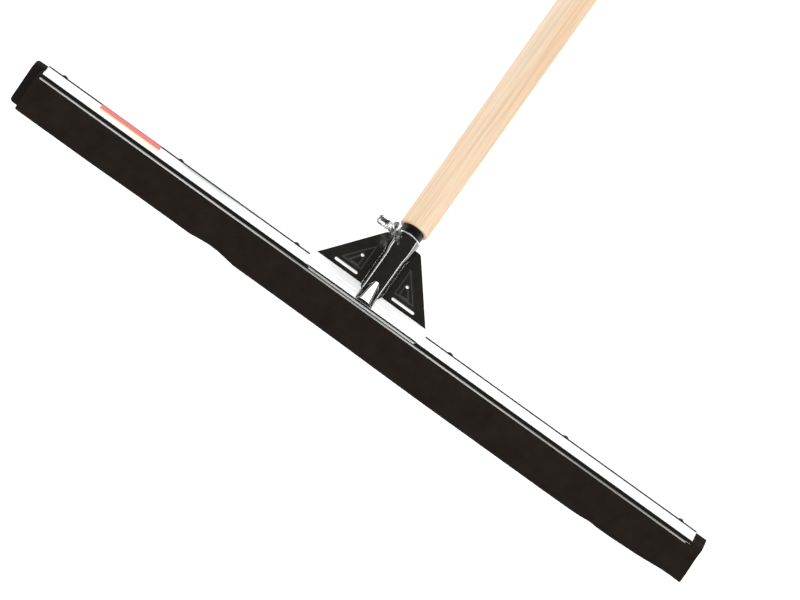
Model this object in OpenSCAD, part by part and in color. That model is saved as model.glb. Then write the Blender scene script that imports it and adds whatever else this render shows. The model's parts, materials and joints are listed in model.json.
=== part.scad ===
// Floor squeegee: two foam rubber blades in a plated steel channel, a pressed
// two-shell handle socket with gusset wings, a clamp sleeve and a wooden handle.
// Lengths are in millimetres and angles in degrees. The squeegee lies on the
// floor as it is put down: it rests on the back blade's wiping edge and on the
// far end of the handle. X runs along the blade and Y towards the handle's end.

/* [Blade channel] */
// Length of the steel channel
channel_l = 734; // [600:1:1000]
// Outside depth of the channel, front to back
channel_w = 24; // [20:0.5:32]
// Sheet thickness of the channel
sheet_t = 1.2; // [0.8:0.1:1.6]
// Height of the short front wall, lip included
front_wall_h = 4.9; // [4.5:0.1:8]
// Height of the back wall, lip included
back_wall_h = 12; // [10:0.5:16]
// How far the turned-out lips stand out of the walls
lip_out = 1.6; // [0.8:0.1:2.5]
// Outside radius of the channel's two top bends
bend_r = 1.6; // [1.3:0.1:2]
// Length of front lip that is cut away at the right-hand end
lip_trim = 5; // [1:0.5:12]

/* [Foam blades] */
// Height of each foam strip
blade_h = 46; // [36:0.5:60]
// How much longer the strips are than the channel, at each end
blade_overhang = 12.5; // [8:0.5:20]
// How much shorter the front strip is at its left end
front_short = 9; // [0:0.5:20]
// Depth of the bevel along the front wiping edge
bevel_in = 1.5; // [0.5:0.1:3]
// Height of the bevel along the front wiping edge
bevel_up = 4; // [1:0.5:8]

/* [Blade pins] */
// Pins on each side of the middle
pins_a_side = 3; // [2:1:3]
// Distance from the middle to the first pin
pin_first = 87; // [75:0.5:90]
// Distance of the last pin from the channel's end
pin_inset = 17.5; // [10:0.5:40]
// Diameter of a pin's shank
pin_d = 4; // [2.5:0.1:5]
// Diameter of a pin's head
pin_head_d = 7; // [6:0.1:8]
// Height of a pin's head
pin_head_h = 3.4; // [1.5:0.1:4]
// Depth of the pins' axes below the top of the channel
pin_drop = 3.6; // [3.6:0.1:5]

/* [Saddle plate] */
// How far the saddle plate and the socket sit left of the channel's middle
socket_left = 6.5; // [0:0.5:10]
// Overall width of the saddle plate
saddle_w = 131; // [128:0.5:140]
// Thickness of the saddle plate
saddle_t = 1.5; // [1:0.1:2]
// Radius of its curved ends
saddle_end_r = 41; // [30:0.5:60]
// How far its front lip reaches down over the channel
saddle_lip_h = 1.6; // [1.5:0.1:2]
// How far the lip's lower edge is turned out
saddle_lip_out = 0.9; // [0.4:0.1:1.5]
// How far the front lip stops short of the plate's ends
saddle_lip_back = 6; // [4:0.5:12]
// Diameter of the four spot-weld dimples
weld_d = 4.5; // [3:0.1:6]
// Depth of the dimples
weld_deep = 0.25; // [0.1:0.05:0.5]
// Distance of the inner dimples from the middle
weld_inner_x = 27.5; // [20:0.5:35]
// Distance of the outer dimples from the middle
weld_outer_x = 54; // [42:0.5:56]

/* [Handle socket] */
// Lean of the handle back from square to the channel's top
lean = 46; // [35:0.5:50]
// Distance of the wings' seam behind the channel's back wall
seam_back = 9.5; // [6:0.5:14]
// Sheet thickness of the two shells
shell_t = 1.2; // [0.8:0.1:1.6]
// Width of the gusset wings at their base
wing_base_w = 121; // [110:0.5:126]
// Width of the gusset wings at their top
wing_top_w = 37; // [35:0.5:44]
// Height of the gusset wings along the socket
wing_h = 55.7; // [50:0.1:57]
// Radius of the wings' top corners
wing_corner_r = 3; // [1:0.5:4]
// Length of the socket tube above the wings' base
socket_l = 62; // [60:0.5:75]
// Depth of the wide mouth that takes the sleeve
mouth_l = 19; // [14:0.5:22]
// Length of the cone between the two tube sizes
step_l = 3; // [1:0.5:5]
// Width of the pressed foot on the saddle plate
foot_w = 18.4; // [14:0.2:20]
// Height of the foot at the saddle's front edge
foot_nose_h = 2.6; // [2:0.1:4]
// Length of the two slots in the wings
slot_l = 25.5; // [18:0.5:30]
// Width of the slots
slot_w = 3.4; // [2.5:0.1:5]
// Distance of the slots' centres from the middle
slot_x = 32.2; // [30:0.1:36]
// Height of the slots' centres above the wings' base
slot_up = 4.4; // [3.5:0.1:5]
// Diameter of the round hole in each wing
hole_d = 3.8; // [2:0.1:5]
// Distance of the round holes from the middle
hole_x = 25.5; // [24:0.1:28]
// Height of the round holes above the wings' base
hole_up = 22; // [18:0.5:24]
// How far the triangular panels are raised
panel_raise = 0.8; // [0.3:0.1:1.2]

/* [Clamp sleeve] */
// Outside diameter of the plastic sleeve
sleeve_d = 23; // [22.5:0.1:25]
// How far the sleeve stands out of the socket
sleeve_out = 9.5; // [5:0.5:15]
// Width of the slit that lets the sleeve close on the handle
sleeve_slit = 2; // [1:0.1:4]

/* [Handle] */
// Overall length of the wooden handle
handle_l = 1400; // [1000:10:1600]
// Diameter of the handle
handle_d = 31.5; // [28:0.5:34]
// Diameter of the handle at its shoulder
neck_d = 29.5; // [27:0.5:31]
// Rounding of the shoulder's edge
shoulder_round = 1.4; // [0.5:0.1:2.5]
// Length over which the handle grows from its shoulder to its full diameter
taper_l = 280; // [100:5:400]
// Diameter of its turned-down spigot
spigot_d = 20; // [18:0.1:20.4]
// Length of the spigot
spigot_l = 57; // [45:0.5:57]

/* [Wing screw] */
// Thread diameter of the wing screw
screw_d = 5; // [4:0.1:6]
// Distance of the screw's axis below the socket's rim
screw_below = 5; // [4.5:0.1:7]
// Turn of the screw's axis forward of the wings
screw_forward = 35; // [33:0.5:45]
// Width of the weld nut across its flats
nut_af = 8; // [7.5:0.1:9]
// Height of the weld nut above the tube
nut_h = 4; // [3:0.1:5]
// Gap between the nut and the tightened screw's hub
hub_gap = 1.6; // [0.5:0.1:3]
// Diameter of the wing screw's hub
hub_d = 10; // [8.5:0.1:10]
// Length of the hub
hub_l = 8; // [6:0.5:12]
// Span over the two wings
screw_span = 25; // [22:0.5:26]
// Thickness of the wings
screw_wing_t = 5.2; // [1.5:0.1:6]
// Height of the wings past the hub
screw_wing_up = 7; // [4:0.5:9]
// Turn of the wings about the screw's axis at rest
screw_rest_turn = 80; // [0:1:90]

/* [Label] */
// Length of the plain sticker
label_l = 67; // [40:1:70]
// Distance of the sticker from the channel's left end
label_inset = 60; // [30:0.5:70]
// Width of sticker on the channel's top
label_top_w = 13; // [6:0.5:16]
// Width of sticker on the channel's back wall
label_back_w = 6; // [3:0.5:7]
// Thickness of the sticker
label_t = 0.2; // [0.1:0.05:0.3]

/* [Fits] */
// Radial clearance of turning and sliding fits
fit_clear = 0.05; // [0.02:0.01:0.1]
// Radial clearance of the sleeve in the socket
sleeve_clear = 0.1; // [0.05:0.05:0.3]
// Clearance where nothing is meant to touch
free_clear = 0.35; // [0.3:0.05:0.6]

/* [Hidden] */
$fn = 64;
hull_fn = 32;
far = 400;

// Channel and blades, in the head's own frame: Z = 0 is the channel's top
inside_w = channel_w - 2 * sheet_t;
blade_t = inside_w / 2;
blade_low = -sheet_t - blade_h;
blade_l = channel_l + 2 * blade_overhang;
pin_pitch = (channel_l / 2 - pin_inset - pin_first) / (pins_a_side - 1);
pin_xs = [for (side = [-1, 1], i = [0 : pins_a_side - 1]) side * (pin_first + i * pin_pitch)];
pin_l = sheet_t + inside_w - free_clear;

label_x = label_inset + (label_l - channel_l) / 2;

// Saddle plate and socket seam
seam_y = channel_w / 2 + seam_back;
saddle_front_y = -channel_w / 2 - free_clear - saddle_t;
saddle_back_y = seam_y + 2 * shell_t / cos(lean);
saddle_mid_y = (saddle_front_y + saddle_back_y) / 2;

// Socket tube, along its own axis from the wings' base
mouth_bore_r = sleeve_d / 2 + sleeve_clear;
mouth_r = mouth_bore_r + shell_t;
stem_bore_r = spigot_d / 2 + free_clear;
stem_r = stem_bore_r + shell_t;
seat_s = socket_l - mouth_l;
sleeve_top_s = socket_l + sleeve_out;
spigot_end_s = sleeve_top_s - spigot_l;
dome_s = spigot_end_s + 2;
screw_s = socket_l - screw_below;
wing_slope = (wing_base_w - wing_top_w) / 2 / wing_h;

// Wing screw, along its own axis from the middle of the socket
nut_top = mouth_r + nut_h;
hub_low = nut_top + hub_gap;
hub_top = hub_low + hub_l;
stud_tip = sleeve_d / 2 + free_clear;
stud_end = hub_top - screw_d / 2;
wing_lobe_r = screw_span / 5;
wing_root_up = hub_l * 0.3;

// Lying pose: the blade's edge and the handle's round end both touch the floor
handle_r = handle_d / 2;
handle_end_s = spigot_end_s + handle_l;
dome_mid_s = handle_end_s - handle_r;
rise = saddle_t - blade_low + dome_mid_s * cos(lean);
reach = seam_y - blade_t + dome_mid_s * sin(lean);
tilt = acos(handle_r / norm([rise, reach])) - atan2(reach, rise);
lay_z = blade_t * sin(tilt) - blade_low * cos(tilt);
front_most = (bevel_in - blade_t) * cos(tilt) + blade_low * sin(tilt);
end_y = seam_y + dome_mid_s * sin(lean);
end_z = saddle_t + dome_mid_s * cos(lean);
back_most = end_y * cos(tilt) + end_z * sin(tilt) + handle_r;
lay_y = -(front_most + back_most) / 2;

function unit(v) = v / norm(v);

// Points of a round corner of radius r at b, between the points a and c
function corner(a, b, c, r, steps = 6) =
    let (u = unit(a - b), v = unit(c - b), half = acos(u * v) / 2)
    let (mid = b + unit(u + v) * r / sin(half))
    let (first = b + u * r / tan(half) - mid, last = b + v * r / tan(half) - mid)
    let (a0 = atan2(first[1], first[0]), a1 = atan2(last[1], last[0]))
    let (sweep = (a1 - a0 + 540) % 360 - 180)
    [for (i = [0 : steps]) mid + r * [cos(a0 + sweep * i / steps), sin(a0 + sweep * i / steps)]];

// A polygon with every corner rounded alike
module round_polygon(points, r) {
    n = len(points);
    polygon([for (i = [0 : n - 1])
        each corner(points[(i + n - 1) % n], points[i], points[(i + 1) % n], r)]);
}

// From the head's frame to the lying pose
module lay() {
    translate([0, lay_y, lay_z]) rotate([-tilt, 0, 0]) children();
}

// From the socket's frame, Z along the tube and -Y to the front, to the head's
module along_socket() {
    translate([-socket_left, seam_y, saddle_t]) rotate([-lean, 0, 0]) children();
}

// From the screw's frame, Z outwards along its axis, to the socket's
module along_screw() {
    translate([0, 0, screw_s]) rotate([0, 0, screw_forward]) rotate([0, -90, 0]) children();
}

// A front-to-back section drawn over a length of X
module along_blade(x0, x1) {
    translate([x0, 0, 0]) rotate([90, 0, 90]) linear_extrude(height = x1 - x0) children();
}

module each_pin() {
    for (x = pin_xs)
        translate([x, channel_w / 2, -pin_drop]) rotate([-90, 0, 0]) children();
}

module pin_holes(r) {
    each_pin() translate([0, 0, -channel_w]) cylinder(r = r, h = channel_w + 1);
}

module channel_section() {
    out = channel_w / 2;
    in = inside_w / 2;
    tip = out + lip_out;
    polygon(concat(
        [[-tip, -front_wall_h], [-in, -front_wall_h], [-in, -sheet_t], [in, -sheet_t],
            [in, -back_wall_h], [tip, -back_wall_h], [tip, sheet_t - back_wall_h],
            [out, sheet_t - back_wall_h]],
        corner([out, -back_wall_h], [out, 0], [0, 0], bend_r),
        corner([0, 0], [-out, 0], [-out, -front_wall_h], bend_r),
        [[-out, sheet_t - front_wall_h], [-tip, sheet_t - front_wall_h]]));
}

module channel() color([0.86, 0.87, 0.86]) lay() difference() {
    along_blade(-channel_l / 2, channel_l / 2) channel_section();
    translate([channel_l / 2 - lip_trim, -channel_w / 2 - lip_out - 1, -front_wall_h - 1])
        cube([lip_trim + 1, lip_out + 1, front_wall_h]);
    each_pin() translate([0, 0, -2 * sheet_t]) cylinder(d = pin_d + 2 * fit_clear, h = 4 * sheet_t);
}

module front_blade() color([0.13, 0.12, 0.11]) lay() difference() {
    along_blade(front_short - blade_l / 2, blade_l / 2)
        polygon([[0, -sheet_t], [0, blade_low], [bevel_in - blade_t, blade_low],
            [-blade_t, blade_low + bevel_up], [-blade_t, -sheet_t]]);
    pin_holes(pin_d / 2 + fit_clear);
}

module back_blade() color([0.13, 0.12, 0.11]) lay() difference() {
    along_blade(-blade_l / 2, blade_l / 2)
        translate([0, blade_low]) square([blade_t, blade_h]);
    pin_holes(pin_d / 2 + fit_clear);
}

module blade_pins() color([0.08, 0.08, 0.08]) lay() each_pin() {
    translate([0, 0, -pin_l]) cylinder(d = pin_d, h = pin_l + pin_head_h / 2);
    intersection() {
        cylinder(d = pin_head_d, h = pin_head_h);
        translate([0, 0, pin_head_h - pin_head_d]) sphere(r = pin_head_d);
    }
}

module saddle_outline() {
    mid_x = saddle_w / 2 - saddle_end_r;
    intersection() {
        translate([-far, saddle_front_y]) square([2 * far, saddle_back_y - saddle_front_y]);
        union() {
            for (side = [-1, 1])
                translate([side * mid_x, saddle_mid_y]) circle(r = saddle_end_r, $fn = 2 * $fn);
            translate([-mid_x, saddle_mid_y - saddle_end_r]) square([2 * mid_x, 2 * saddle_end_r]);
        }
    }
}

module saddle_plate() color([0.88, 0.88, 0.87]) lay() translate([-socket_left, 0, 0]) difference() {
    lip_w = saddle_w - 2 * saddle_lip_back;
    union() {
        linear_extrude(height = saddle_t) saddle_outline();
        translate([-lip_w / 2, saddle_front_y, -saddle_lip_h])
            cube([lip_w, saddle_t, saddle_lip_h + saddle_t / 2]);
        translate([-lip_w / 2, saddle_front_y - saddle_lip_out, -saddle_lip_h])
            cube([lip_w, saddle_lip_out + saddle_t / 2, saddle_t]);
    }
    for (side = [-1, 1], x = [weld_inner_x, weld_outer_x])
        translate([side * x, 0, saddle_t - weld_deep]) cylinder(d = weld_d, h = saddle_t);
}

// One side's wing outline, from the middle of the tube outwards
function wing_edge(s) = wing_base_w / 2 - wing_slope * s;

module wing_outline(low = -6) {
    top = [wing_top_w / 2, wing_h];
    base = [wing_edge(low), low];
    for (side = [0, 1]) mirror([side, 0])
        polygon(concat([[-1, low], base], corner(base, top, [0, wing_h], wing_corner_r),
            [[-1, wing_h]]));
}

// Triangular panel: an outer triangle with a smaller one let into it
module panel_outline() {
    inner_x = mouth_r + 4.7;
    low = slot_up + slot_w / 2 + 1.6;
    edge = 11.5;
    top = (wing_edge(0) - edge - inner_x) / wing_slope;
    difference() {
        round_polygon([[inner_x, low], [wing_edge(low) - edge, low], [inner_x, top]], 1.5);
        round_polygon([[hole_x - 1.9, low + 1], [wing_edge(low) - edge - 8, low + 1],
            [hole_x - 1.9, hole_up + 1]], 0.8);
    }
}

// Holes and slots that go through both shells' wings
module wing_cuts() {
    for (side = [-1, 1]) scale([side, 1, 1]) {
        translate([hole_x, 0, hole_up]) rotate([90, 0, 0])
            cylinder(d = hole_d, h = far, center = true);
        for (end = [-1, 1])
            translate([slot_x + end * (slot_l - slot_w) / 2, 0, slot_up]) rotate([90, 0, 0])
                cylinder(d = slot_w, h = far, center = true);
        translate([slot_x, 0, slot_up]) cube([slot_l - slot_w, far, slot_w], center = true);
    }
}

// Outside of the socket tube from s = low upwards
module tube_outside(low) {
    rotate_extrude() polygon([[0, low], [stem_r, low], [stem_r, seat_s - step_l],
        [mouth_r, seat_s], [mouth_r, socket_l], [0, socket_l]]);
}

// Space inside the socket tube from s = low upwards
module tube_inside(low) {
    rotate_extrude() polygon([[0, low], [stem_bore_r, low], [stem_bore_r, seat_s],
        [mouth_bore_r, seat_s], [mouth_bore_r, socket_l + 1], [0, socket_l + 1]]);
}

// Wing sheets on the front (side = 1) or the back (side = -1) of the seam
module wing_sheets(side) {
    scale([1, side, 1]) rotate([90, 0, 0]) {
        linear_extrude(height = shell_t) wing_outline();
        for (m = [0, 1]) mirror([m, 0, 0])
            linear_extrude(height = shell_t + panel_raise) panel_outline();
    }
}

// Ramp that carries the tube's front down to the saddle's front edge
module foot_ramp(inset) {
    r = foot_w / 2 - inset;
    nose = foot_nose_h - inset;
    root_y = seam_y - stem_r * 0.45;
    root_up = stem_r - inset;
    translate([-socket_left, 0, 0]) hull() {
        translate([0, root_y, saddle_t]) rotate([90, 0, 0]) linear_extrude(height = 0.2)
            intersection() {
                translate([0, root_up - r]) circle(r = r, $fn = hull_fn);
                translate([-r, 0]) square([2 * r, 2 * r]);
            }
        translate([-r, saddle_front_y + saddle_t + inset, saddle_t]) cube([2 * r, 0.2, nose / 3]);
        translate([-r * 0.7, saddle_front_y + saddle_t + inset, saddle_t]) cube([1.4 * r, 0.2, nose]);
    }
}

// Everything below the saddle plate's top
module under_saddle() {
    translate([-far / 2, -far / 2, saddle_t - far]) cube([far, far, far]);
}

module socket_front_shell() color([0.12, 0.11, 0.10]) lay() difference() {
    union() {
        along_socket() intersection() {
            union() {
                tube_outside(-2 * stem_r);
                wing_sheets(1);
            }
            translate([-far / 2, -far, -far / 2]) cube([far, far, far]);
        }
        foot_ramp(0);
    }
    foot_ramp(shell_t);
    along_socket() {
        tube_inside(-2 * stem_r);
        wing_cuts();
        along_screw() cylinder(d = screw_d + 2 * free_clear, h = 2 * mouth_r);
        translate([-far / 2, 0, -far / 2]) cube([far, far, far]);
    }
    under_saddle();
}

module socket_back_shell() color([0.12, 0.11, 0.10]) lay() difference() {
    along_socket() difference() {
        intersection() {
            union() {
                tube_outside(dome_s);
                translate([0, 0, dome_s]) sphere(r = stem_r);
                wing_sheets(-1);
            }
            translate([-far / 2, 0, -far / 2]) cube([far, far, far]);
        }
        tube_inside(dome_s);
        translate([0, 0, dome_s]) sphere(r = stem_bore_r);
        wing_cuts();
    }
    under_saddle();
}

module socket_sleeve() color([0.11, 0.10, 0.09]) lay() along_socket() difference() {
    translate([0, 0, seat_s]) cylinder(d = sleeve_d, h = sleeve_top_s - seat_s);
    translate([0, 0, seat_s - 1]) cylinder(d = spigot_d + 2 * fit_clear, h = sleeve_top_s);
    translate([-sleeve_slit / 2, 0, seat_s - 1]) cube([sleeve_slit, sleeve_d, sleeve_top_s]);
}

module clamp_nut() color([0.78, 0.79, 0.78]) lay() along_socket() difference() {
    along_screw() difference() {
        translate([0, 0, mouth_r - nut_h / 2])
            cylinder(d = nut_af / cos(30), h = nut_h * 1.5, $fn = 6);
        cylinder(d = screw_d + 2 * fit_clear, h = 2 * nut_top);
    }
    cylinder(r = mouth_r, h = 2 * socket_l);
}

module screw_stud() color([0.80, 0.81, 0.80]) lay() along_socket() along_screw()
    translate([0, 0, stud_tip]) cylinder(d = screw_d, h = stud_end - stud_tip);

module screw_wing_outline() {
    lobe = [screw_span / 2 - wing_lobe_r, hub_top + screw_wing_up - wing_lobe_r];
    root_low = hub_low + wing_root_up;
    for (side = [0, 1]) mirror([side, 0]) {
        translate(lobe) circle(r = wing_lobe_r);
        polygon([[hub_d / 3, root_low], lobe + wing_lobe_r * [cos(-40), sin(-40)],
            lobe + wing_lobe_r * [cos(140), sin(140)], [hub_d / 3, hub_top]]);
    }
}

module screw_wings() color([0.80, 0.81, 0.80]) lay() along_socket() along_screw() difference() {
    union() {
        translate([0, 0, hub_low]) cylinder(d = hub_d, h = hub_l);
        rotate([0, 0, screw_rest_turn]) rotate([90, 0, 0])
            linear_extrude(height = screw_wing_t, center = true) screw_wing_outline();
    }
    translate([0, 0, hub_low - 1])
        cylinder(d = screw_d + 2 * fit_clear, h = stud_end + free_clear - hub_low + 1);
}

module handle() color([0.90, 0.74, 0.56]) lay() along_socket() {
    flat_r = neck_d / 2 - shoulder_round;
    rotate_extrude() polygon(concat(
        [[0, spigot_end_s], [spigot_d / 2 - 2, spigot_end_s], [spigot_d / 2, spigot_end_s + 2],
            [spigot_d / 2, sleeve_top_s]],
        [for (a = [0 : 15 : 90]) [flat_r, sleeve_top_s] + shoulder_round * [sin(a), 1 - cos(a)]],
        [[handle_r, sleeve_top_s + taper_l]],
        [for (a = [0 : 7.5 : 90]) [handle_r * cos(a), dome_mid_s + handle_r * sin(a)]]));
}

module label() color([0.80, 0.16, 0.20]) lay() {
    out = channel_w / 2;
    over = out + label_t;
    along_blade(label_x - label_l / 2, label_x + label_l / 2) polygon(concat(
        [[out - label_top_w, label_t], [out - label_top_w, 0]],
        corner([0, 0], [out, 0], [out, -back_wall_h], bend_r),
        [[out, -label_back_w], [over, -label_back_w]],
        corner([over, -back_wall_h], [over, label_t], [0, label_t], bend_r + label_t)));
}

channel();
front_blade();
back_blade();
blade_pins();
saddle_plate();
socket_front_shell();
socket_back_shell();
socket_sleeve();
clamp_nut();
screw_stud();
screw_wings();
handle();
label();
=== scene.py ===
import json
import math

import bmesh
import bpy
from mathutils import Matrix, Vector


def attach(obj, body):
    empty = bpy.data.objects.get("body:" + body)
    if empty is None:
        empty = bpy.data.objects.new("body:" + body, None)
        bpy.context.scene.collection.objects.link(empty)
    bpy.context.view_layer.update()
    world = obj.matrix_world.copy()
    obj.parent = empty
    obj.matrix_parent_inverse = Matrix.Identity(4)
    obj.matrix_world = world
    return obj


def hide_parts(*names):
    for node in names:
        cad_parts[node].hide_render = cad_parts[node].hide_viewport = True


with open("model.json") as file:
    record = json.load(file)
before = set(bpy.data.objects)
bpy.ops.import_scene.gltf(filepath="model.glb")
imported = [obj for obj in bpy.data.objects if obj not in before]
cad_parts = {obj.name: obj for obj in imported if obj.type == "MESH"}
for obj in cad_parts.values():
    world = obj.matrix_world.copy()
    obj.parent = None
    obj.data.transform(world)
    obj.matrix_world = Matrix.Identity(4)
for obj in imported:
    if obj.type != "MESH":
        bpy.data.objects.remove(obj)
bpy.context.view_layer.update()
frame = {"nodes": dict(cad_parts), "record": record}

# Sizes in millimetres. In the head's frame the strips hang below z = 0, in the socket's z runs up the tube.

# Strips and channel
STRIP_LOW = -47.2
STRIP_TOP = -1.2
STRIP_THICK = 10.8
STRIP_END = 379.5
FRONT_LEFT = -370.5
STRIP_COLUMNS = 76
STRIP_ROWS = (-10, -18, -26, -34, -41)
SHEET = 1.2
CHANNEL_HALF = 367.0
CHANNEL_DEEP = 12.0
FRONT_WALL = 3.7
BACK_WALL = 10.8
LIP = 1.6
LIP_NOTCH = 5

# Saddle and its weld marks
SADDLE_TOP = 1.5
SADDLE_SHEET = 1.4
SADDLE_FRONT = -13.85
SADDLE_END = 24.5
SADDLE_END_R = 41
SADDLE_HEM_HALF = 59.5
WELDS = (-54, -27.5, 27.5, 54)
WELD_BALL_R = 10.2
WELD_BALL_UP = 9.95

# Socket, its wings and their raised panels
SEAM_BACK = 21.5
SOCKET_LEFT = 6.5
LEAN = math.radians(46)
STEM_R = 11.55
STEM_LOW = -14
STEM_HIGH = 36.5
MOUTH_LOW = 43
MOUTH_R = 12.8
RIM = 62.0
WING_STOCK = 75
WING_BASE = 60.5
WING_TOP = 18.5
WING_HIGH = 55.7
PANEL = [(17.4, 8.0), (43.2, 8.0), (20.8, 37.5), (17.4, 37.5)]
HOLLOW = [(23.4, 10.6), (34.0, 10.6), (26.0, 22.0), (23.4, 22.0)]
SLOT_SIZE = (25.5, 12, 3.4)
SLOT_AT = (32.2, 4.4)
HOLE_R = 1.7
HOLE_AT = (25.5, 22)

# Sleeve and wing screw
SLEEVE_R = 11.5
SLEEVE_BORE = 10.05
SLEEVE_LOW = 43.0
SLEEVE_TOP = 71.5
SLEEVE_SWEEP = math.radians(350)
SLEEVE_TURN = math.radians(-95)
SCREW_AT = 57.0
SCREW_FORWARD = math.radians(35)
SCREW_TURN = math.radians(-80)
HUB_LOW = 18.4
HUB_TOP = 26.4
HUB_BORE_R = 2.55
HUB_BORE_END = 24.25

# Handle
HANDLE_LONG = 1400
SPIGOT_LONG = 57
SPIGOT_R = 10.0
NECK_R = 14.75
HANDLE_R = 15.75
HANDLE_TAPER = 280.0
SHOULDER_ROUND = 1.4

# The head's own frame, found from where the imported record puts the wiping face
record = frame["record"]
mounts = {m["name"]: m for m in record["mounts"]}
face = mounts["wiping_face"]
tilt = math.atan2(-face["axis"][1], -face["axis"][2])
turn = Matrix.Rotation(-tilt, 4, "X")
MM = Matrix.Scale(0.001, 4)
face_point = turn @ Vector((0, STRIP_THICK * 0.0005, STRIP_LOW * 0.001))
HEAD = Matrix.Translation(Vector(face["pos_m"]) - face_point) @ turn @ MM
BRACKET = HEAD @ Matrix.Translation((-SOCKET_LEFT, 0, 0))
SOCKET = BRACKET @ Matrix.Translation((0, SEAM_BACK, SADDLE_TOP)) @ Matrix.Rotation(-LEAN, 4, "X")
SCREW = (SOCKET @ Matrix.Translation((0, 0, SCREW_AT)) @ Matrix.Rotation(SCREW_FORWARD, 4, "Z")
         @ Matrix.Rotation(-math.pi / 2, 4, "Y"))


# Work at the bench: picking, pulling and finishing

def only(piece):
    if bpy.context.object and bpy.context.object.mode != "OBJECT":
        bpy.ops.object.mode_set(mode="OBJECT")
    bpy.ops.object.select_all(action="DESELECT")
    piece.select_set(True)
    bpy.context.view_layer.objects.active = piece


def named(name):
    piece = bpy.context.object
    piece.name = name
    piece.data.name = name
    return piece


def add(maker, name, **how):
    bpy.ops.object.select_all(action="DESELECT")
    maker(**how)
    return named(name)


def open_up(piece, mode="VERT"):
    only(piece)
    bpy.ops.object.mode_set(mode="EDIT")
    bpy.ops.mesh.select_mode(type=mode)


def close_up():
    bpy.ops.object.mode_set(mode="OBJECT")


def pick_all():
    bpy.ops.mesh.select_all(action="SELECT")


def pick_points(piece, test):
    bpy.ops.mesh.select_mode(type="VERT")
    bpy.ops.mesh.select_all(action="DESELECT")
    skin = bmesh.from_edit_mesh(piece.data)
    for point in skin.verts:
        if test(point.co):
            point.select_set(True)
    skin.select_flush_mode()
    bmesh.update_edit_mesh(piece.data)


def pick_edges(piece, test):
    bpy.ops.mesh.select_mode(type="EDGE")
    bpy.ops.mesh.select_all(action="DESELECT")
    skin = bmesh.from_edit_mesh(piece.data)
    for edge in skin.edges:
        if test((edge.verts[0].co + edge.verts[1].co) / 2, edge.verts[1].co - edge.verts[0].co):
            edge.select_set(True)
    skin.select_flush_mode()
    bmesh.update_edit_mesh(piece.data)


def pick_faces(piece, test):
    bpy.ops.mesh.select_mode(type="FACE")
    bpy.ops.mesh.select_all(action="DESELECT")
    skin = bmesh.from_edit_mesh(piece.data)
    for side in skin.faces:
        if test(side.calc_center_median(), side.normal):
            side.select_set(True)
    skin.select_flush_mode()
    bmesh.update_edit_mesh(piece.data)


def pull(x, y, z):
    bpy.ops.mesh.extrude_region_move(TRANSFORM_OT_translate={"value": (x, y, z)})


def shift(x, y, z):
    bpy.ops.transform.translate(value=(x, y, z))


def cut(point, normal, **clear):
    bpy.ops.mesh.bisect(plane_co=point, plane_no=Vector(normal).normalized(), **clear)


def cut_through(point, normal, **clear):
    pick_all()
    cut(point, normal, **clear)


def bevel(width, segments, affect="EDGES"):
    bpy.ops.mesh.bevel(offset=width, segments=segments, affect=affect)


def scale_about(x, y, z, middle=(0, 0, 0)):
    bpy.ops.transform.resize(value=(x, y, z), center_override=middle)


def spin_points(steps, sweep, middle, axis):
    bpy.ops.mesh.spin(steps=steps, angle=sweep, center=middle, axis=axis)


def turn_points(angle):
    pick_all()
    bpy.ops.transform.rotate(value=angle, orient_axis="Z", center_override=(0, 0, 0))


def face_out(piece, way):
    """Turns the picked skin over if the piece's largest face looks away from the given way."""
    skin = bmesh.from_edit_mesh(piece.data)
    largest = max(skin.faces, key=lambda side: side.calc_area())
    if largest.normal.dot(Vector(way)) < 0:
        bpy.ops.mesh.flip_normals()


def mend():
    pick_all()
    bpy.ops.mesh.remove_doubles(threshold=0.002)
    bpy.ops.mesh.normals_make_consistent(inside=False)


def weld(piece):
    """Joins points that rounding left on top of each other."""
    open_up(piece)
    mend()
    close_up()


def use(piece, kind, **settings):
    only(piece)
    step = piece.modifiers.new(kind.title(), kind)
    for key, value in settings.items():
        setattr(step, key, value)
    bpy.ops.object.modifier_apply(modifier=step.name)


def round_edges(piece, width, segments, angle):
    use(piece, "BEVEL", width=width, segments=segments, limit_method="ANGLE",
        angle_limit=math.radians(angle))


def thicken(piece, wall, even=True):
    use(piece, "SOLIDIFY", thickness=wall, offset=-1.0, use_even_offset=even)


def punch(piece, tool):
    use(piece, "BOOLEAN", object=tool, operation="DIFFERENCE", solver="EXACT")
    bpy.data.objects.remove(tool)


def smooth(piece, angle):
    only(piece)
    bpy.ops.object.shade_smooth_by_angle(angle=math.radians(angle))


def settle(piece, place):
    piece.matrix_world = place
    only(piece)
    bpy.ops.object.transform_apply(location=True, rotation=True, scale=True)


def hand_over(piece, body, slot, finish, *nodes):
    piece.data.materials.clear()
    piece.data.materials.append(finish)
    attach(piece, body)
    if nodes:
        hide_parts(*nodes)


def one_point(name, x, y, z):
    piece = add(bpy.ops.mesh.primitive_plane_add, name, size=1)
    open_up(piece)
    pick_all()
    bpy.ops.mesh.merge(type="CENTER")
    shift(x, y, z)
    return piece


def block(name, size, at):
    """A block of the given size and middle, left open for more work."""
    piece = add(bpy.ops.mesh.primitive_cube_add, name, size=1)
    open_up(piece)
    pick_all()
    bpy.ops.transform.resize(value=size)
    shift(*at)
    return piece


def lathe(name, outline, steps, sweep=2 * math.pi):
    piece = one_point(name, outline[0][0], 0, outline[0][1])
    for (r0, z0), (r1, z1) in zip(outline, outline[1:]):
        pull(r1 - r0, 0, z1 - z0)
    pick_all()
    spin_points(steps, sweep, (0, 0, 0), (0, 0, 1))
    mend()
    close_up()
    return piece


def arc(mid, r, a0, a1, count):
    return [(mid[0] + r * math.cos(math.radians(a0 + (a1 - a0) * i / count)),
             mid[1] + r * math.sin(math.radians(a0 + (a1 - a0) * i / count))) for i in range(count + 1)]


# Finishes

def wire(tree, a, out, b, into):
    tree.links.new(a.outputs[out], b.inputs[into])


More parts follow.
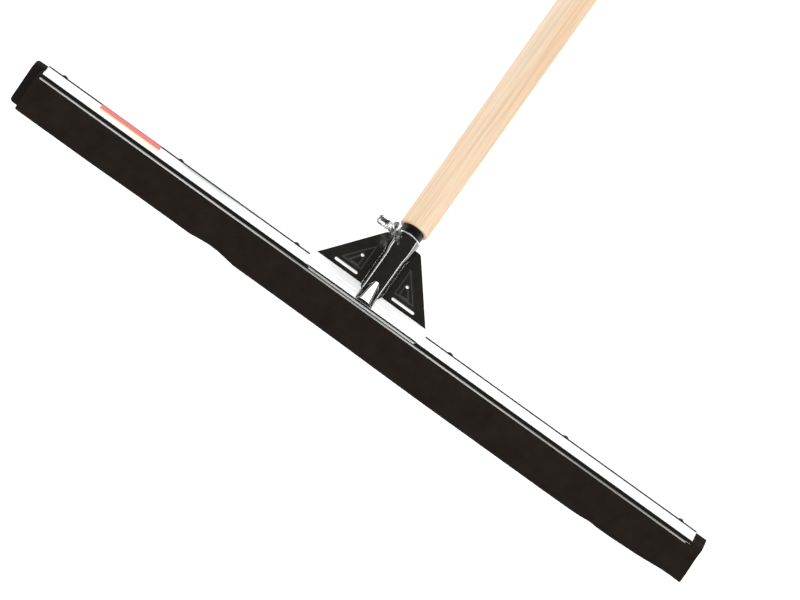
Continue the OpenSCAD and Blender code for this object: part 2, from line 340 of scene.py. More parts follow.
def group(name, inputs, outputs):
    tree = bpy.data.node_groups.new(name, "ShaderNodeTree")
    for label, kind, value in inputs:
        socket = tree.interface.new_socket(label, in_out="INPUT", socket_type=kind)
        if value is not None:
            socket.default_value = value
    for label, kind in outputs:
        tree.interface.new_socket(label, in_out="OUTPUT", socket_type=kind)
    return tree, tree.nodes.new("NodeGroupInput"), tree.nodes.new("NodeGroupOutput")


def node(tree, kind, **values):
    made = tree.nodes.new(kind)
    for key, value in values.items():
        if key.startswith("in_"):
            slot = key[3:]
            made.inputs[int(slot) if slot.isdigit() else slot.replace("_", " ")].default_value = value
        else:
            setattr(made, key, value)
    return made


def ramp(tree, stops):
    made = tree.nodes.new("ShaderNodeValToRGB")
    steps = made.color_ramp.elements
    while len(steps) < len(stops):
        steps.new(0.5)
    for element, (at, colour) in zip(steps, stops):
        element.position = at
        element.color = (*colour, 1)
    return made


def make_streaks():
    """Fine streaks drawn out along one way, with slow blotches under them."""
    tree, start, end = group("drawn_streaks", [("Vector", "NodeSocketVector", None),
                             ("Fine", "NodeSocketFloat", 900.0), ("Slow", "NodeSocketFloat", 30.0)],
                             [("Streak", "NodeSocketFloat"), ("Blotch", "NodeSocketFloat")])
    fine = node(tree, "ShaderNodeTexNoise", in_Detail=3.0, in_Roughness=0.6)
    slow = node(tree, "ShaderNodeTexNoise", in_Detail=4.0, in_Roughness=0.55)
    wire(tree, start, "Vector", fine, "Vector")
    wire(tree, start, "Vector", slow, "Vector")
    wire(tree, start, "Fine", fine, "Scale")
    wire(tree, start, "Slow", slow, "Scale")
    wire(tree, fine, 0, end, "Streak")
    wire(tree, slow, 0, end, "Blotch")
    return tree


def make_scuffs():
    """Thin scattered scratches and rubbed spots, as a mask."""
    tree, start, end = group("handling_scuffs", [("Vector", "NodeSocketVector", None),
                             ("Scale", "NodeSocketFloat", 60.0), ("Spread", "NodeSocketFloat", 0.06)],
                             [("Mask", "NodeSocketFloat")])
    bend = node(tree, "ShaderNodeTexNoise", in_Scale=24.0, in_Detail=2.0)
    lines = node(tree, "ShaderNodeTexVoronoi", feature="DISTANCE_TO_EDGE")
    thin = node(tree, "ShaderNodeMath", operation="LESS_THAN")
    patch = node(tree, "ShaderNodeTexNoise", in_Scale=35.0, in_Detail=3.0)
    some = node(tree, "ShaderNodeMapRange", in_1=0.55, in_2=0.7)
    both = node(tree, "ShaderNodeMath", operation="MULTIPLY")
    mixed = node(tree, "ShaderNodeVectorMath", operation="MULTIPLY_ADD", in_1=(0.01, 0.01, 0.01))
    wire(tree, start, "Vector", bend, "Vector")
    wire(tree, bend, 1, mixed, 0)
    wire(tree, start, "Vector", mixed, 2)
    wire(tree, mixed, 0, lines, "Vector")
    wire(tree, start, "Scale", lines, "Scale")
    wire(tree, lines, "Distance", thin, 0)
    wire(tree, start, "Spread", thin, 1)
    wire(tree, start, "Vector", patch, "Vector")
    wire(tree, patch, 0, some, 0)
    wire(tree, thin, 0, both, 0)
    wire(tree, some, 0, both, 1)
    wire(tree, both, 0, end, "Mask")
    return tree


STREAKS = make_streaks()
SCUFFS = make_scuffs()


def blank(name):
    finish = bpy.data.materials.new(name)
    finish.use_nodes = True
    return finish, finish.node_tree, finish.node_tree.nodes["Principled BSDF"]


def from_frame(tree, place, stretch=(1, 1, 1)):
    """Object coordinates brought into the metres of the head's or the socket's own frame."""
    coords = node(tree, "ShaderNodeTexCoord")
    turned = node(tree, "ShaderNodeMapping", vector_type="POINT")
    home = (place @ MM.inverted()).inverted()
    turned.inputs["Rotation"].default_value = home.to_euler()
    turned.inputs["Location"].default_value = home.to_translation()
    turned.inputs["Scale"].default_value = stretch
    wire(tree, coords, "Object", turned, "Vector")
    return turned


def from_head(tree, stretch=(1, 1, 1)):
    return from_frame(tree, HEAD, stretch)


def remap(tree, source, out, low, high, first, last):
    made = node(tree, "ShaderNodeMapRange", in_1=low, in_2=high, in_3=first, in_4=last)
    wire(tree, source, out, made, 0)
    return made


def fade(tree, source, out, low, high):
    """0 below low and 1 above high, or the other way round if low is the greater."""
    if low < high:
        return remap(tree, source, out, low, high, 0.0, 1.0)
    return remap(tree, source, out, high, low, 1.0, 0.0)


def band(tree, source, out, rise_from, rise_to, fall_from, fall_to):
    """1 between two fades along one measure, and 0 on both sides."""
    return times(tree, fade(tree, source, out, rise_from, rise_to),
                 fade(tree, source, out, fall_to, fall_from))


def combine(tree, operation, a, b):
    made = node(tree, "ShaderNodeMath", operation=operation)
    wire(tree, a, 0, made, 0)
    wire(tree, b, 0, made, 1)
    return made


def times(tree, a, b):
    return combine(tree, "MULTIPLY", a, b)


def most(tree, a, b):
    return combine(tree, "MAXIMUM", a, b)


def either_side(tree, spot):
    """The distance from the middle, alike on both sides."""
    made = node(tree, "ShaderNodeMath", operation="ABSOLUTE")
    wire(tree, spot, "X", made, 0)
    return made


def noise(tree, place, **settings):
    made = node(tree, "ShaderNodeTexNoise", **settings)
    wire(tree, place, 0, made, "Vector")
    return made


def tint(tree, source, out, stops):
    made = ramp(tree, stops)
    wire(tree, source, out, made, "Fac")
    return made


def roughen(tree, skin, source, out, low, high, first, last):
    wire(tree, remap(tree, source, out, low, high, first, last), 0, skin, "Roughness")


def raise_grain(tree, skin, source, out, strength, distance):
    bump = node(tree, "ShaderNodeBump", in_Strength=strength, in_Distance=distance)
    wire(tree, source, out, bump, "Height")
    wire(tree, bump, 0, skin, "Normal")


def paint_over(tree, under, out, colour, mask):
    made = node(tree, "ShaderNodeMix", data_type="RGBA")
    wire(tree, under, out, made, 6)
    made.inputs[7].default_value = (*colour, 1)
    wire(tree, mask, 0, made, 0)
    return made


def effect(tree, kind):
    made = tree.nodes.new("ShaderNodeGroup")
    made.node_tree = kind
    return made


def zinc_finish():
    finish, tree, skin = blank("bright_zinc")
    streaks = effect(tree, STREAKS)
    streaks.inputs["Fine"].default_value = 1400.0
    streaks.inputs["Slow"].default_value = 60.0
    wire(tree, from_head(tree, (0.04, 1, 1)), 0, streaks, "Vector")
    tone = tint(tree, streaks, "Blotch", [(0.25, (0.91, 0.92, 0.93)), (0.75, (0.98, 0.98, 0.97))])
    spot = node(tree, "ShaderNodeSeparateXYZ")
    wire(tree, from_head(tree), 0, spot, 0)
    # Painted shade and dark reflections: dark lines on the front wall, the back bend and the gap under the
    # saddle's fold
    wall = times(tree, band(tree, spot, "Y", -0.0127, -0.0124, -0.0115, -0.0109),
                 fade(tree, spot, "Z", -0.00365, -0.0034))
    bend = times(tree, fade(tree, spot, "Y", 0.0076, 0.0082), fade(tree, spot, "Z", -0.004, -0.003))
    low = node(tree, "ShaderNodeMath", operation="LESS_THAN", in_1=0.0004)
    wire(tree, spot, "Z", low, 0)
    fold = times(tree, fade(tree, spot, "Y", -0.0131, -0.0135), fade(tree, spot, "Z", 0.0, 0.0002))
    painted_shade = most(tree, times(tree, most(tree, wall, bend), low), fold)
    # Dulled lip and hem, and a painted patch of shade on the web left of the bracket
    lip = times(tree, fade(tree, spot, "Y", -0.0122, -0.0126), fade(tree, spot, "Z", -0.0026, -0.0030))
    hem = times(tree, fade(tree, spot, "Y", -0.0139, -0.0141), fade(tree, spot, "Z", 0.0008, 0.0004))
    wear_and_painted_highlight = times(tree, most(tree, lip, hem), fade(tree, streaks, "Blotch", 0.75, 0.35))
    painted_shade_patch = times(tree, band(tree, spot, "X", -0.232, -0.205, -0.175, -0.112),
                  fade(tree, spot, "Y", 0.0, 0.007))
    dull = paint_over(tree, tone, "Color", (0.30, 0.30, 0.28), wear_and_painted_highlight)
    cast = paint_over(tree, dull, 2, (0.46, 0.50, 0.47), painted_shade_patch)
    # The painted shade and dark reflections are laid over the zinc here
    dark = paint_over(tree, cast, 2, (0.014, 0.013, 0.010), painted_shade)
    wire(tree, dark, 2, skin, "Base Color")
    plain = remap(tree, painted_shade, 0, 0.0, 1.0, 0.25, 0.0)
    wire(tree, plain, 0, skin, "Metallic")
    wire(tree, plain, 0, skin, "Specular IOR Level")
    roughen(tree, skin, streaks, "Streak", 0.3, 0.7, 0.46, 0.62)
    raise_grain(tree, skin, streaks, "Streak", 0.05, 0.0002)
    return finish


def beside(tree, spot, ring):
    """How far inside a ring of (x, s) points a place is, alike on both wings."""
    x = either_side(tree, spot)
    least = None
    for (x0, s0), (x1, s1) in zip(ring, ring[1:] + ring[:1]):
        long = math.hypot(x1 - x0, s1 - s0)
        a, b = (s0 - s1) / long, (x1 - x0) / long
        first = node(tree, "ShaderNodeMath", operation="MULTIPLY_ADD", in_1=a,
                     in_2=-(a * x0 + b * s0) * 0.001)
        both = node(tree, "ShaderNodeMath", operation="MULTIPLY_ADD", in_1=b)
        wire(tree, x, 0, first, 0)
        wire(tree, spot, "Z", both, 0)
        wire(tree, first, 0, both, 2)
        least = combine(tree, "MINIMUM", least, both) if least else both
    return least


def enamel_finish():
    finish, tree, skin = blank("black_enamel")
    place = from_head(tree)
    flow = noise(tree, place, in_Scale=120.0, in_Detail=3.0)
    scuffs = effect(tree, SCUFFS)
    scuffs.inputs["Scale"].default_value = 60.0
    scuffs.inputs["Spread"].default_value = 0.008
    wire(tree, place, 0, scuffs, "Vector")
    tone = tint(tree, flow, 0, [(0.3, (0.0110, 0.0096, 0.0070)), (0.7, (0.0175, 0.0156, 0.0120))])
    rubbed = paint_over(tree, tone, "Color", (0.0200, 0.0180, 0.0145), scuffs)
    rise = node(tree, "ShaderNodeSeparateXYZ")
    wire(tree, from_frame(tree, SOCKET), 0, rise, 0)
    # Painted highlights: paler edges of the raised panels, and a pale, partly metallic band painted round
    # the tube's rim
    painted_ridge_highlight = most(tree, band(tree, beside(tree, rise, PANEL), 0, 0.0011, 0.0016, 0.0019, 0.0026),
                 band(tree, beside(tree, rise, HOLLOW), 0, -0.0007, -0.0002, 0.0002, 0.0007))
    thin = paint_over(tree, rubbed, 2, (0.060, 0.058, 0.054), painted_ridge_highlight)
    painted_rim_highlight = fade(tree, rise, "Z", 0.0605, 0.0609)
    wear_and_painted_highlight = paint_over(tree, thin, 2, (0.80, 0.80, 0.78), painted_rim_highlight)
    wire(tree, wear_and_painted_highlight, 2, skin, "Base Color")
    metal = node(tree, "ShaderNodeMath", operation="MULTIPLY", in_1=0.4)
    wire(tree, painted_rim_highlight, 0, metal, 0)
    wire(tree, metal, 0, skin, "Metallic")
    # The wings are duller than the tube
    gloss = remap(tree, flow, 0, 0.3, 0.7, 0.06, 0.12)
    wing = remap(tree, either_side(tree, rise), 0, 0.0118, 0.0150, 0.0, 0.3)
    wire(tree, most(tree, most(tree, gloss, metal), wing), 0, skin, "Roughness")
    wire(tree, remap(tree, wing, 0, 0.0, 0.3, 1.0, 0.15), 0, skin, "Coat Weight")
    skin.inputs["Coat Roughness"].default_value = 0.05
    skin.inputs["Coat IOR"].default_value = 1.9
    raise_grain(tree, skin, flow, 0, 0.012, 0.0003)
    return finish


def foam_finish():
    finish, tree, skin = blank("cellular_rubber")
    place = from_head(tree)
    cells = node(tree, "ShaderNodeTexVoronoi", in_Scale=1500.0)
    wire(tree, place, 0, cells, "Vector")
    dust = noise(tree, place, in_Scale=55.0, in_Detail=6.0, in_Roughness=0.65)
    tone = tint(tree, dust, 0, [(0.3, (0.0112, 0.0079, 0.0058)), (0.72, (0.0184, 0.0137, 0.0108))])
    wire(tree, tone, "Color", skin, "Base Color")
    roughen(tree, skin, dust, 0, 0.0, 1.0, 0.82, 0.97)
    raise_grain(tree, skin, cells, "Distance", 0.35, 0.0004)
    skin.inputs["Specular IOR Level"].default_value = 0.08
    return finish


def plastic_finish():
    finish, tree, skin = blank("black_plastic")
    grain = noise(tree, from_head(tree), in_Scale=1800.0, in_Detail=2.0)
    tone = tint(tree, grain, 0, [(0.2, (0.006, 0.0055, 0.005)), (0.8, (0.012, 0.011, 0.010))])
    wire(tree, tone, "Color", skin, "Base Color")
    roughen(tree, skin, grain, 0, 0.3, 0.7, 0.34, 0.5)
    raise_grain(tree, skin, grain, 0, 0.06, 0.0002)
    skin.inputs["Specular IOR Level"].default_value = 0.2
    return finish


def screw_finish():
    finish, tree, skin = blank("bright_screw")
    skin.inputs["Metallic"].default_value = 0.85
    cast = noise(tree, from_head(tree), in_Scale=240.0, in_Detail=2.0)
    tone = tint(tree, cast, 0, [(0.38, (0.16, 0.17, 0.16)), (0.5, (0.66, 0.67, 0.65))])
    wire(tree, tone, "Color", skin, "Base Color")
    roughen(tree, skin, cast, 0, 0.3, 0.7, 0.16, 0.32)
    raise_grain(tree, skin, cast, 0, 0.05, 0.0005)
    return finish


def wood_finish():
    finish, tree, skin = blank("pale_wood")
    place = node(tree, "ShaderNodeTexCoord")
    along = node(tree, "ShaderNodeMapping", in_Scale=(1, 0.02, 1), in_Location=(0.013, 0.02, 0.004))
    wire(tree, place, "Object", along, "Vector")
    streaks = effect(tree, STREAKS)
    streaks.inputs["Fine"].default_value = 520.0
    streaks.inputs["Slow"].default_value = 120.0
    wire(tree, along, 0, streaks, "Vector")
    pale = tint(tree, streaks, "Blotch", [(0.28, (0.93, 0.61, 0.38)), (0.5, (1.0, 0.75, 0.52)),
                                          (0.74, (1.0, 0.84, 0.65))])
    dark = tint(tree, streaks, "Streak", [(0.34, (0.80, 0.80, 0.80)), (0.56, (1.0, 1.0, 1.0))])
    both = node(tree, "ShaderNodeMix", data_type="RGBA", blend_type="MULTIPLY", in_0=0.7)
    wire(tree, pale, "Color", both, 6)
    wire(tree, dark, "Color", both, 7)
    wire(tree, both, 2, skin, "Base Color")
    roughen(tree, skin, streaks, "Streak", 0.3, 0.7, 0.62, 0.48)
    raise_grain(tree, skin, streaks, "Streak", 0.12, 0.0003)
    return finish


def label_finish():
    finish, tree, skin = blank("label_film")
    place = from_head(tree)
    speck = noise(tree, place, in_Scale=700.0, in_Detail=2.0)
    tone = tint(tree, speck, 0, [(0.3, (0.80, 0.18, 0.20)), (0.7, (0.86, 0.23, 0.25))])
    spot = node(tree, "ShaderNodeSeparateXYZ")
    wire(tree, place, 0, spot, 0)
    striped = paint_over(tree, tone, "Color", (0.92, 0.72, 0.18), fade(tree, spot, "Y", 0.0013, 0.0011))
    # Painted shade: the label's fold down the back bend is painted a darker red
    painted_fold_shade = paint_over(tree, striped, 2, (0.36, 0.06, 0.06), fade(tree, spot, "Y", 0.0082, 0.0106))
    wire(tree, painted_fold_shade, 2, skin, "Base Color")
    roughen(tree, skin, speck, 0, 0.3, 0.7, 0.3, 0.42)
    skin.inputs["Specular IOR Level"].default_value = 0.1
    return finish


ZINC = zinc_finish()
ENAMEL = enamel_finish()
FOAM = foam_finish()
PLASTIC = plastic_finish()
BRIGHT = screw_finish()
WOOD = wood_finish()
FILM = label_finish()


# Foam strips

def foam_strip(name, x0, x1, y0, y1):
    strip = block(name, (x1 - x0, y1 - y0, STRIP_TOP - STRIP_LOW),
                  ((x0 + x1) / 2, (y0 + y1) / 2, (STRIP_TOP + STRIP_LOW) / 2))
    if y0 < -1:
        pick_edges(strip, lambda at, way: at.z < STRIP_LOW + 1 and at.y < y0 + 1 and abs(way.x) > 10)
        bevel(2.2, 1)
    pick_edges(strip, lambda at, way: abs(way.y) > 5 and at.x < 0)
    bevel(3.6, 5)
    pick_edges(strip, lambda at, way: abs(way.y) > 5 and at.x > 0)
    bevel(1.2, 3)
    for i in range(1, STRIP_COLUMNS):
        cut_through((x0 + (x1 - x0) * i / STRIP_COLUMNS, 0, 0), (1, 0, 0))
    for z in STRIP_ROWS:
        cut_through((0, 0, z), (0, 0, 1))
    mend()
    close_up()
    return strip


def nudge(strip, x, half, move, reach):
    """Moves the lower edge near x, and the points round it less and less."""
    open_up(strip)
    pick_points(strip, lambda at: at.z < STRIP_LOW + 4 and abs(at.x - x) < half)
    bpy.ops.transform.translate(value=move, use_proportional_edit=True, use_proportional_connected=False,
                                proportional_edit_falloff="SMOOTH", proportional_size=reach)
    close_up()


front_strip = foam_strip("front_foam_strip", FRONT_LEFT, STRIP_END, -STRIP_THICK, 0.0)
back_strip = foam_strip("back_foam_strip", -STRIP_END, STRIP_END, 0.0, STRIP_THICK)
for strip in (front_strip, back_strip):
    nudge(strip, 376, 8, (2.0, 0, 3.4), 40)
    nudge(strip, 350, 10, (0, 0, 1.2), 42)
    nudge(strip, 312, 12, (0, 0, 0.6), 44)
    round_edges(strip, 0.4, 2, 30)
    weld(strip)
nudge(front_strip, -148, 6, (0, 0.4, 2.6), 22)
nudge(front_strip, -205, 20, (0, 0, 0.8), 70)
nudge(front_strip, 165, 60, (0, 0, -1.5), 190)
nudge(front_strip, 281, 5, (0, 0.2, 1.0), 14)
for strip in (front_strip, back_strip):
    smooth(strip, 30)
    settle(strip, HEAD)
hand_over(front_strip, "head", "foam_rubber", FOAM, "front_blade")
hand_over(back_strip, "head", "foam_rubber", FOAM, "back_blade")


# Folded blade channel

def folded_channel():
    sheet = add(bpy.ops.mesh.primitive_plane_add, "folded_channel", size=1)
    open_up(sheet)
    pick_all()
    bpy.ops.transform.resize(value=(2 * CHANNEL_HALF, 2 * CHANNEL_DEEP, 1))
    pick_edges(sheet, lambda at, way: at.y < 1 - CHANNEL_DEEP)
    pull(0, 0, -FRONT_WALL)
    pull(0, -LIP, 0)
    pick_edges(sheet, lambda at, way: at.y > CHANNEL_DEEP - 1 and at.z > -1)
    pull(0, 0, -BACK_WALL)
    pull(0, LIP, 0)
    cut_through((CHANNEL_HALF - LIP_NOTCH, 0, 0), (1, 0, 0))
    pick_faces(sheet, lambda at, way: at.x > CHANNEL_HALF - LIP_NOTCH and at.y < -CHANNEL_DEEP - 0.3)
    bpy.ops.mesh.delete(type="FACE")
    pick_all()
    bpy.ops.mesh.normals_make_consistent(inside=False)
    face_out(sheet, (0, 0, 1))
    close_up()
    round_edges(sheet, 1.2, 5, 40)
    thicken(sheet, SHEET)
    round_edges(sheet, 0.25, 2, 50)
    smooth(sheet, 45)
    settle(sheet, HEAD)
    return sheet


channel = folded_channel()
hand_over(channel, "head", "zinc_plate", ZINC, "channel")


# Saddle plate

def saddle():
    back = SEAM_BACK + 2 * SHEET / math.cos(LEAN)
    mid = (SADDLE_FRONT + back) / 2
    half = math.asin((back - SADDLE_FRONT) / 2 / SADDLE_END_R)
    plate = one_point("saddle_sheet", SADDLE_END + SADDLE_END_R * math.cos(half), SADDLE_FRONT, SADDLE_TOP)
    spin_points(14, 2 * half, (SADDLE_END, mid, SADDLE_TOP), (0, 0, -1))
    pick_all()
    bpy.ops.mesh.duplicate_move()
    scale_about(-1, 1, 1)
    bpy.ops.mesh.select_mode(type="EDGE")
    pick_all()
    bpy.ops.mesh.bridge_edge_loops()
    for x in (-SADDLE_HEM_HALF, SADDLE_HEM_HALF):
        cut_through((x, 0, 0), (1, 0, 0))
    pick_edges(plate, lambda at, way: at.y < SADDLE_FRONT + 0.01 and abs(at.x) < SADDLE_HEM_HALF - 0.5)
    pull(0, 0, -1.6)
    pull(0, -0.9, 0)
    pick_all()
    bpy.ops.mesh.normals_make_consistent(inside=False)
    face_out(plate, (0, 0, 1))
    close_up()
    round_edges(plate, 0.5, 4, 50)
    thicken(plate, SADDLE_SHEET)
    for x in WELDS:
        punch(plate, add(bpy.ops.mesh.primitive_uv_sphere_add, "weld_ball", segments=32, ring_count=16,
                         radius=WELD_BALL_R, location=(x, 0, SADDLE_TOP + WELD_BALL_UP)))
    round_edges(plate, 0.2, 2, 55)
    smooth(plate, 35)
    settle(plate, BRACKET)
    return plate


plate = saddle()
hand_over(plate, "head", "zinc_plate", ZINC, "saddle_plate")


# Pressed front shell of the socket

def front_shell():
    meet = math.asin(SHEET / STEM_R)
    wing_run = WING_STOCK - STEM_R * math.cos(meet)
    shell = one_point("pressed_front_shell", -WING_STOCK, -SHEET, STEM_LOW)
    pull(wing_run, 0, 0)
    spin_points(28, math.pi - 2 * meet, (0, 0, STEM_LOW), (0, 0, -1))
    pull(wing_run, 0, 0)
    pick_all()
    pull(0, 0, STEM_HIGH - STEM_LOW)
    pull(0, 0, MOUTH_LOW - STEM_HIGH)
    # The tube widens to its mouth, and its upper end stands free of the wings
    grow = MOUTH_R / STEM_R
    pick_points(shell, lambda at: at.z > MOUTH_LOW - 0.1 and at.y < -SHEET - 0.1)
    scale_about(grow, grow, 1, (0, 0, MOUTH_LOW))
    pick_points(shell, lambda at: at.z > MOUTH_LOW - 0.1 and at.y > -SHEET - 0.1 and abs(at.x) < 20)
    scale_about(grow, 1, 1, (0, 0, MOUTH_LOW))
    pick_edges(shell, lambda at, way: at.z > MOUTH_LOW - 0.1)
    pull(0, 0, RIM - MOUTH_LOW)
    cut_through((0, 0, 0), (0, -math.sin(LEAN), math.cos(LEAN)), clear_inner=True)
    for side in (-1, 1):
        cut_through((side * WING_BASE, 0, 0), (side * WING_HIGH, 0, WING_BASE - WING_TOP), clear_outer=True)
    pick_faces(shell, lambda at, way: abs(at.x) > 13 and at.y > -SHEET - 0.05)
    cut((0, 0, WING_HIGH), (0, 0, 1), clear_outer=True)
    mend()
    pick_points(shell, lambda at: abs(at.z - WING_HIGH) < 0.02 and abs(abs(at.x) - WING_TOP) < 0.1)
    bevel(2.0, 6, "VERTICES")
    face_out(shell, (0, -1, 0))
    raise_panels(shell)
    pick_edges(shell, lambda at, way: abs(at.y + SHEET) < 0.02 and abs(at.x) < 13.2
               and abs(way.z) > abs(way.x))
    bevel(1.2, 8)
    for x in (-15.2, 15.2):
        cut_through((x, 0, 0), (1, 0, 0))
    close_up()
    thicken(shell, SHEET)
    pierce(shell)
    open_up(shell, "EDGE")
    pick_edges(shell, lambda at, way: at.z > RIM - 0.05 and abs(way.z) < 0.01
               and at.y < -0.5 and math.hypot(at.x, at.y) > MOUTH_R - 0.6)
    bevel(0.55, 8)
    close_up()
    round_edges(shell, 0.16, 2, 38)
    smooth(shell, 14)
    return shell


def fence(points):
    """Cutting planes along the sides of a ring of (x, s) points."""
    return [((x0, 0, s0), (s1 - s0, 0, x0 - x1))
            for (x0, s0), (x1, s1) in zip(points, points[1:] + points[:1])]


def inside(points, x, s):
    signs = [(x1 - x0) * (s - s0) - (s1 - s0) * (x - x0)
             for (x0, s0), (x1, s1) in zip(points, points[1:] + points[:1])]
    return all(v > 0 for v in signs) or all(v < 0 for v in signs)


def raise_panels(shell):
    for side in (-1, 1):
        big = [(side * x, s) for x, s in PANEL]
        small = [(side * x, s) for x, s in HOLLOW]
        for point, normal in fence(big):
            pick_faces(shell, lambda at, way: side * at.x > 13.5 and at.y > -SHEET - 0.05)
            cut(point, normal)
        pick_faces(shell, lambda at, way: inside(big, at.x, at.z) and at.y > -SHEET - 0.1)
        bpy.ops.mesh.inset(thickness=1.9, depth=0.55)
        for point, normal in fence(small):
            pick_faces(shell, lambda at, way: inside(big, at.x, at.z) and at.y < -SHEET - 0.5)
            cut(point, normal)
        pick_faces(shell, lambda at, way: inside(small, at.x, at.z) and at.y < -SHEET - 0.5)
        bpy.ops.mesh.inset(thickness=1.5, depth=-0.45)


def pierce(shell):
    for side in (-1, 1):
        slot = block("slot_punch", SLOT_SIZE, (side * SLOT_AT[0], 0, SLOT_AT[1]))
        pick_edges(slot, lambda at, way: abs(way.y) > 5)
        bevel(SLOT_SIZE[2] / 2 - 0.01, 10)
        close_up()
        punch(shell, slot)
        punch(shell, add(bpy.ops.mesh.primitive_cylinder_add, "hole_punch", vertices=32, radius=HOLE_R,
                         depth=SLOT_SIZE[1], location=(side * HOLE_AT[0], 0, HOLE_AT[1]),
                         rotation=(math.pi / 2, 0, 0)))


def socket_foot():
    """Ridge of the same pressing, from the tube's front down to the saddle's front edge."""
    half, crest, peak = 9.2, 4.8, 2.2
    root_y, nose_y = SEAM_BACK - STEM_R * 0.16, -12.3
    high, nose = STEM_R + 0.9, 2.6
    foot = one_point("socket_foot", half, root_y, SADDLE_TOP - 0.1)
    pull(peak - half, 0, high + 0.1)
    pull(-2 * peak, 0, 0)
    pull(peak - half, 0, -high - 0.1)
    pick_all()
    pull(0, nose_y - root_y, 0)
    pick_points(foot, lambda at: at.y < 0)
    scale_about(1, 1, nose / high, (0, 0, SADDLE_TOP))
    pick_points(foot, lambda at: at.y < 0 and abs(at.x) < half - 1)
    scale_about(crest / peak, 1, 1, (0, 0, SADDLE_TOP))
    pick_edges(foot, lambda at, way: at.y < nose_y + 0.1)
    bpy.ops.mesh.edge_face_add()
    pick_edges(foot, lambda at, way: abs(way.y) > 10 and at.z > SADDLE_TOP + 2)
    bevel(1.5, 6)
    for y in (nose_y + 1.2, nose_y + 2.4, root_y - 2):
        cut_through((0, y, 0), (0, 1, 0))
    mend()
    close_up()
    thicken(foot, SHEET, even=False)
    round_edges(foot, 0.4, 3, 50)
    smooth(foot, 20)
    return foot


shell = front_shell()
settle(shell, SOCKET)
foot = socket_foot()
settle(foot, BRACKET)
only(shell)
foot.select_set(True)
bpy.ops.object.join()
hand_over(shell, "head", "black_enamel", ENAMEL, "socket_front_shell")


# Sleeve

sleeve = lathe("clamp_sleeve", [(SLEEVE_BORE, SLEEVE_LOW), (SLEEVE_R, SLEEVE_LOW),
                                (SLEEVE_R, SLEEVE_TOP - 0.6), (SLEEVE_R - 0.15, SLEEVE_TOP - 0.2),
                                (SLEEVE_R - 0.6, SLEEVE_TOP), (SLEEVE_BORE, SLEEVE_TOP),
                                (SLEEVE_BORE, SLEEVE_LOW)], 80, SLEEVE_SWEEP)
open_up(sleeve, "EDGE")
bpy.ops.mesh.select_all(action="DESELECT")
bpy.ops.mesh.select_non_manifold(extend=False, use_boundary=True)
bpy.ops.mesh.fill_holes(sides=0)
turn_points(SLEEVE_TURN)
bpy.ops.mesh.normals_make_consistent(inside=False)
close_up()
smooth(sleeve, 35)
settle(sleeve, SOCKET)
hand_over(sleeve, "head", "black_plastic", PLASTIC, "socket_sleeve")


# Wing screw

def screw_lobe():
    lobe = block("screw_lobe", (2.5, 10.0, 7.4), (3.95, 0, HUB_LOW + 5.2))
    pick_faces(lobe, lambda at, way: way.x > 0.5)
    for step, swell in (((2.4, 0, 1.9), (1, 1.0, 1.15)), ((2.9, 0, 2.2), (1, 1.05, 1.25)),
                        ((2.8, 0, 0.9), (1, 1.0, 0.95)), ((1.2, 0, 0.2), (1, 0.82, 0.75))):
        pull(*step)
        bpy.ops.transform.resize(value=swell)
    close_up()
    use(lobe, "SUBSURF", levels=3, render_levels=3)
    return lobe


hub = lathe("screw_hub", [(0, HUB_BORE_END), (HUB_BORE_R, HUB_BORE_END), (HUB_BORE_R, HUB_LOW),
                          (4.5, HUB_LOW), (5.0, HUB_LOW + 0.5), (5.0, HUB_LOW + 3.2),
                          (4.7, HUB_LOW + 6.2), (4.0, HUB_TOP - 0.4), (3.0, HUB_TOP), (0, HUB_TOP)], 40)
lobe = screw_lobe()
only(lobe)
bpy.ops.object.duplicate()
other = bpy.context.object
open_up(other)
turn_points(math.pi)
close_up()
only(hub)
lobe.select_set(True)
other.select_set(True)
bpy.ops.object.join()
open_up(hub)
turn_points(SCREW_TURN)
close_up()
smooth(hub, 50)
settle(hub, SCREW)
hand_over(hub, "screw_wings", "bright_steel", BRIGHT, "screw_wings")


# Handle

spigot_end = SLEEVE_TOP - SPIGOT_LONG
dome = spigot_end + HANDLE_LONG - HANDLE_R
shoulder = arc((NECK_R - SHOULDER_ROUND, SLEEVE_TOP + SHOULDER_ROUND), SHOULDER_ROUND, -90, 0, 8)
spigot = [(0, spigot_end), (SPIGOT_R - 2, spigot_end), (SPIGOT_R, spigot_end + 2), (SPIGOT_R, SLEEVE_TOP)]
grip = [(HANDLE_R, SLEEVE_TOP + HANDLE_TAPER)] + arc((0, dome), HANDLE_R, 0, 90, 14)
handle = lathe("turned_handle", spigot + shoulder + grip, 96)
smooth(handle, 35)
settle(handle, SOCKET)
hand_over(handle, "handle", "pale_wood", WOOD, "handle")


# CAD nodes that stay get their finishes
for name, finish in (("blade_pins", PLASTIC), ("socket_back_shell", ENAMEL), ("clamp_nut", BRIGHT),
                     ("screw_stud", BRIGHT), ("label", FILM)):
    kept = frame["nodes"][name]
    kept.data.materials.clear()
    kept.data.materials.append(finish)


# Floor, light and camera

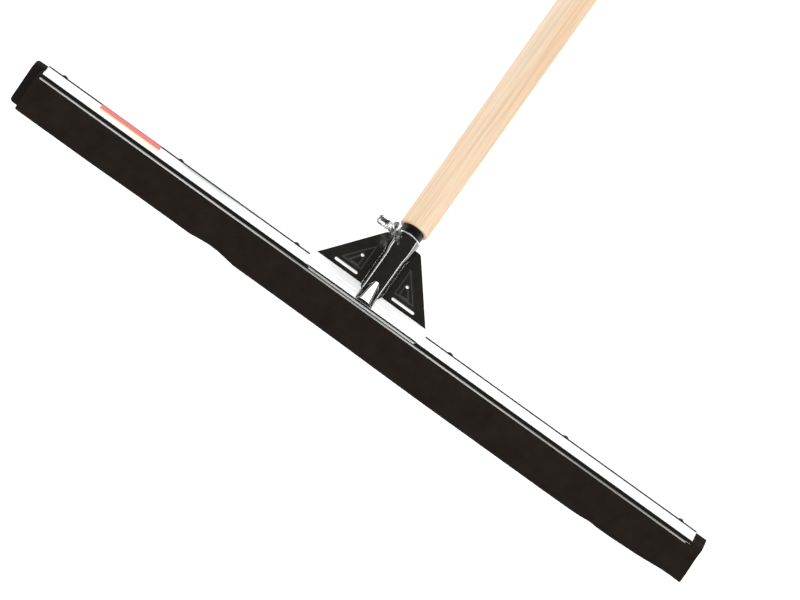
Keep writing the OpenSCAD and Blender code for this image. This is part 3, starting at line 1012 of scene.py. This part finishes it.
floor = add(bpy.ops.mesh.primitive_plane_add, "floor", size=60)
paint, tree, skin = blank("pale_floor")
skin.inputs["Base Color"].default_value = (0.84, 0.84, 0.84, 1)
skin.inputs["Roughness"].default_value = 0.9
skin.inputs["Specular IOR Level"].default_value = 0.0
path = node(tree, "ShaderNodeLightPath")
seen = node(tree, "ShaderNodeMath", operation="MAXIMUM")
wire(tree, path, "Is Camera Ray", seen, 0)
wire(tree, path, "Is Glossy Ray", seen, 1)
more = node(tree, "ShaderNodeMath", operation="MAXIMUM")
wire(tree, seen, 0, more, 0)
wire(tree, path, "Is Transmission Ray", more, 1)
glow = node(tree, "ShaderNodeMath", operation="MULTIPLY", in_1=0.74)
wire(tree, more, 0, glow, 0)
skin.inputs["Emission Color"].default_value = (1, 1, 1, 1)
wire(tree, glow, 0, skin, "Emission Strength")
floor.data.materials.append(paint)

world = bpy.data.worlds.new("studio")
bpy.context.scene.world = world
world.use_nodes = True
sky = world.node_tree.nodes["Background"]
sky.inputs["Color"].default_value = (0.9, 0.93, 1.0, 1)
sky.inputs["Strength"].default_value = 0.06


def lamp(name, at, aim, size, power):
    bpy.ops.object.select_all(action="DESELECT")
    bpy.ops.object.light_add(type="AREA", location=at)
    light = bpy.context.object
    light.name = name
    light.data.shape = "RECTANGLE"
    light.data.size, light.data.size_y = size
    light.data.energy = power
    way = Vector(aim) - Vector(at)
    light.rotation_euler = way.to_track_quat("-Z", "Y").to_euler()


lamp("left_window", (-1.5, -2.3, 2.2), (0, -0.55, 0), (2.4, 2.4), 64)
lamp("right_window", (1.7, -2.1, 2.1), (0, -0.55, 0), (2.4, 2.4), 58)
lamp("far_window", (0.0, 2.6, 0.95), (0, -0.4, 0), (3.0, 0.8), 85)
lamp("left_strip", (-2.0, 0.0, 0.14), (0, -0.6, 0.03), (1.6, 0.14), 8)
lamp("right_strip", (2.0, 0.0, 0.14), (0, -0.6, 0.03), (1.6, 0.14), 8)

bpy.ops.object.select_all(action="DESELECT")
bpy.ops.object.camera_add()
eye = bpy.context.object
eye.name = "photo_camera"
right = Vector((0.81145577, 0.54208632, 0.218362))
up = Vector((-0.58386346, 0.76818746, 0.26266229))
back = Vector((-0.02535732, -0.34063242, 0.93985454))
spot = Vector((-0.10658278, -2.37547568, 4.72927271))
eye.matrix_world = Matrix(((right.x, up.x, back.x, spot.x), (right.y, up.y, back.y, spot.y),
                           (right.z, up.z, back.z, spot.z), (0, 0, 0, 1)))
eye.data.sensor_fit = "HORIZONTAL"
eye.data.sensor_width = 36
eye.data.lens = 243.992
eye.data.clip_start = 0.05
eye.data.clip_end = 100
bpy.context.scene.camera = eye
bpy.context.scene.view_settings.view_transform = "Standard"
